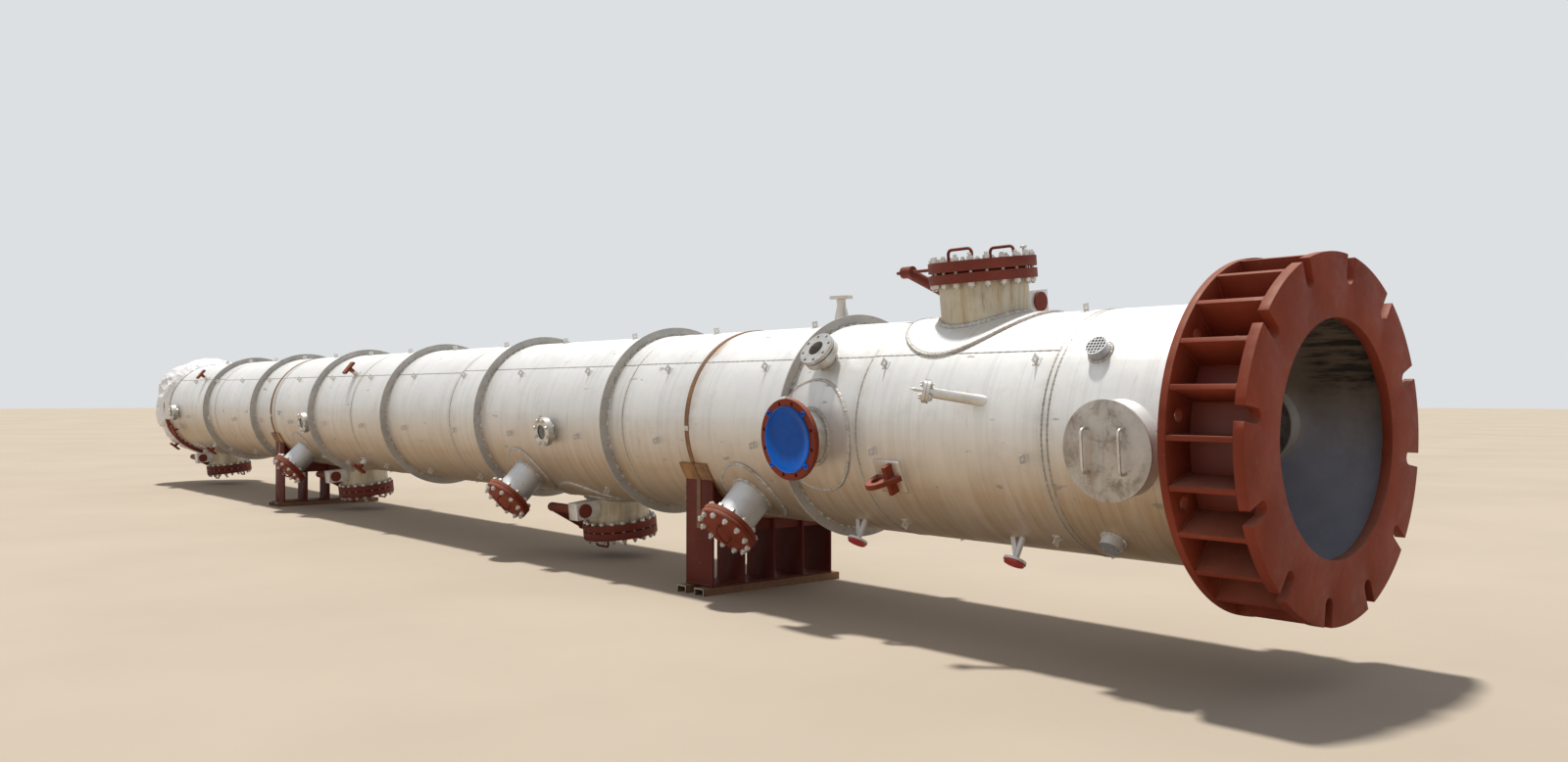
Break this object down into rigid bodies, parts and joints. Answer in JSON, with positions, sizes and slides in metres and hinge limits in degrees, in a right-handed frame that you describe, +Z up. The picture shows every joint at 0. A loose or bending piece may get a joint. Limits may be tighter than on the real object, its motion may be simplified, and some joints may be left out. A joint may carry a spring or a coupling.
{
  "type": "distillation column on transport saddles",
  "caption": "Stainless process column lying on two saddles, with skirt and drilled base ring, manholes, handholes, flanged nozzles, sight glasses and insulation rings.",
  "frame": {"origin": "on the ground, under the middle of the column's length and below its axis", "axes": "+Z up, X along the column with the skirt's base ring towards +X, the side with the feed nozzle towards -Y"},
  "size_m": [18.085, 1.7201, 2.2182],
  "materials": {
    "stainless": "satin, pickled and dusty",
    "red_primer": "matte red oxide primer",
    "dark_primer": "matte dark primer",
    "grey_ring": "matte",
    "rusty_steel": "rusted",
    "blue_plastic": "gloss",
    "red_plastic": "gloss",
    "sight_glass": "polished",
    "white_sheet": "crumpled film"
  },
  "bodies": {
    "root": {"base_plate": "red_primer", "chair_ring": "red_primer", "chair_gussets": "red_primer", "earthing_boss": "stainless", "skirt": "stainless", "skirt_vents": "stainless", "access_neck_front": "stainless", "access_neck_back": "stainless", "access_cover_front": "stainless", "access_cover_back": "stainless", "access_handles": "rusty_steel", "bottom_head": "stainless", "bottom_outlet": "stainless", "shell_course_1": "stainless", "shell_course_2": "stainless", "shell_course_3": "stainless", "shell_course_4": "stainless", "shell_course_5": "stainless", "shell_course_6": "stainless", "shell_course_7": "stainless", "top_head": "stainless", "top_nozzle": "stainless", "insulation_rings": "grey_ring", "insulation_clips": "stainless", "manhole_neck_1": "stainless", "manhole_neck_2": "stainless", "manhole_neck_3": "stainless", "manhole_neck_4": "stainless", "manhole_cover_1": "red_primer", "manhole_cover_2": "red_primer", "manhole_cover_3": "red_primer", "manhole_cover_4": "red_primer", "manhole_handles": "red_primer", "manhole_davits": "red_primer", "davit_sleeves": "stainless", "handhole_necks": "stainless", "handhole_covers": "red_primer", "handhole_handles": "red_primer", "feed_nozzle": "red_primer", "feed_nozzle_cover": "blue_plastic", "level_nozzle": "stainless", "relief_nozzle": "stainless", "relief_nozzle_flange": "stainless", "relief_braces": "stainless", "sight_glass_necks": "stainless", "sight_glasses": "sight_glass", "probe_nozzle": "stainless", "drain_nozzles": "stainless", "drain_caps": "red_plastic", "lifting_lug": "red_primer", "pipe_brackets": "red_primer", "base_saddle": "dark_primer", "top_saddle": "dark_primer", "saddle_cradles": "rusty_steel", "saddle_channels": "rusty_steel", "saddle_straps": "rusty_steel", "end_wrap": "white_sheet"}
  },
  "joints": []
}
